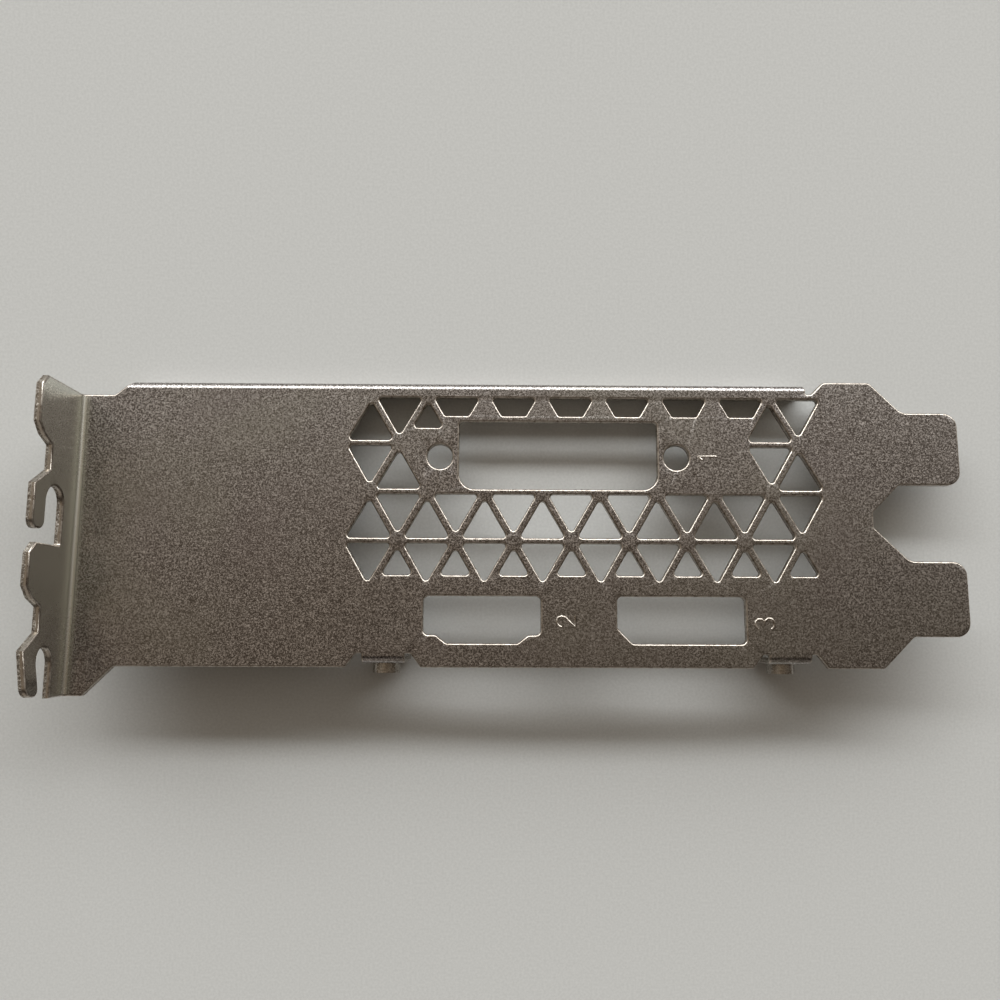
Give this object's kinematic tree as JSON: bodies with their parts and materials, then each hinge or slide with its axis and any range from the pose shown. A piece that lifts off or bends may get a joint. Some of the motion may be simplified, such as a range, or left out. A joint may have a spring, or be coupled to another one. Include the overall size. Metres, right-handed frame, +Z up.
{
  "type": "graphics card bracket",
  "caption": "Two-slot expansion card bracket in folded sheet steel, with a triangular vent lattice, port cut-outs, screw-slotted end tab, tongues and threaded card tabs.",
  "frame": {"origin": "centre of the bounding box's base, on the ground the part rests on", "axes": "+X along the plate from the folded end tab to the tongues, +Y from the card tabs to the flange, +Z up"},
  "size_m": [0.12, 0.0422, 0.0207],
  "materials": {
    "plated_steel": "satin nickel-plated sheet with fine grain"
  },
  "bodies": {
    "root": {"bracket": "plated_steel"}
  },
  "joints": []
}
